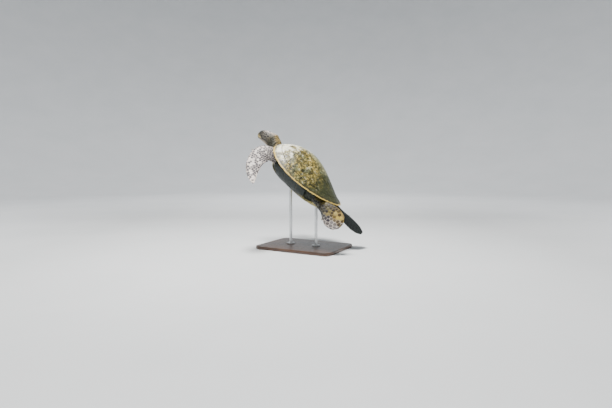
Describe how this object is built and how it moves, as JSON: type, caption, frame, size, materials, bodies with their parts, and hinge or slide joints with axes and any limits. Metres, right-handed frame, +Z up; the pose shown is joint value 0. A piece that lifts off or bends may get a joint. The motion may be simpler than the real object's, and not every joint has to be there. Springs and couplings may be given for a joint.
{
  "type": "green sea turtle",
  "caption": "Still, life-size model of a green sea turtle swimming upwards, held by short rods on a flat base.",
  "frame": {"origin": "middle of the stand's underside, on the floor", "axes": "+Z up; the turtle's nose points towards -Y and upwards; its left side is towards +X"},
  "size_m": [0.7765, 0.7848, 0.8609],
  "materials": {
    "horn": "olive-brown shell plates with yellow and cream streaks, satin",
    "plastron_horn": "pale yellow plates of the underside, satin",
    "skin": "dark scales with pale borders over pale skin, matte",
    "beak": "horn, satin",
    "eye": "dark eye, glossy",
    "claw": "horn, satin",
    "base": "dark stained hardwood, satin",
    "rod": "brushed"
  },
  "bodies": {
    "root": {"vertebral_1": "horn", "vertebral_2": "horn", "vertebral_3": "horn", "vertebral_4": "horn", "vertebral_5": "horn", "costal_left_1": "horn", "costal_left_2": "horn", "costal_left_3": "horn", "costal_left_4": "horn", "costal_right_1": "horn", "costal_right_2": "horn", "costal_right_3": "horn", "costal_right_4": "horn", "marginals_left": "horn", "marginals_right": "horn", "nuchal": "horn", "plastron": "plastron_horn", "bridge_left": "plastron_horn", "bridge_right": "plastron_horn", "trunk": "skin", "neck": "skin", "head": "skin", "lower_jaw": "skin", "tail": "skin", "flipper_front_left": "skin", "flipper_front_right": "skin", "flipper_hind_left": "skin", "flipper_hind_right": "skin", "beak_upper": "beak", "beak_lower": "beak", "eye_left": "eye", "eye_right": "eye", "claw_front_left": "claw", "claw_front_right": "claw", "claw_hind_left": "claw", "claw_hind_right": "claw", "stand_base": "base", "stand_rod_front": "rod", "stand_rod_rear": "rod"}
  },
  "joints": []
}
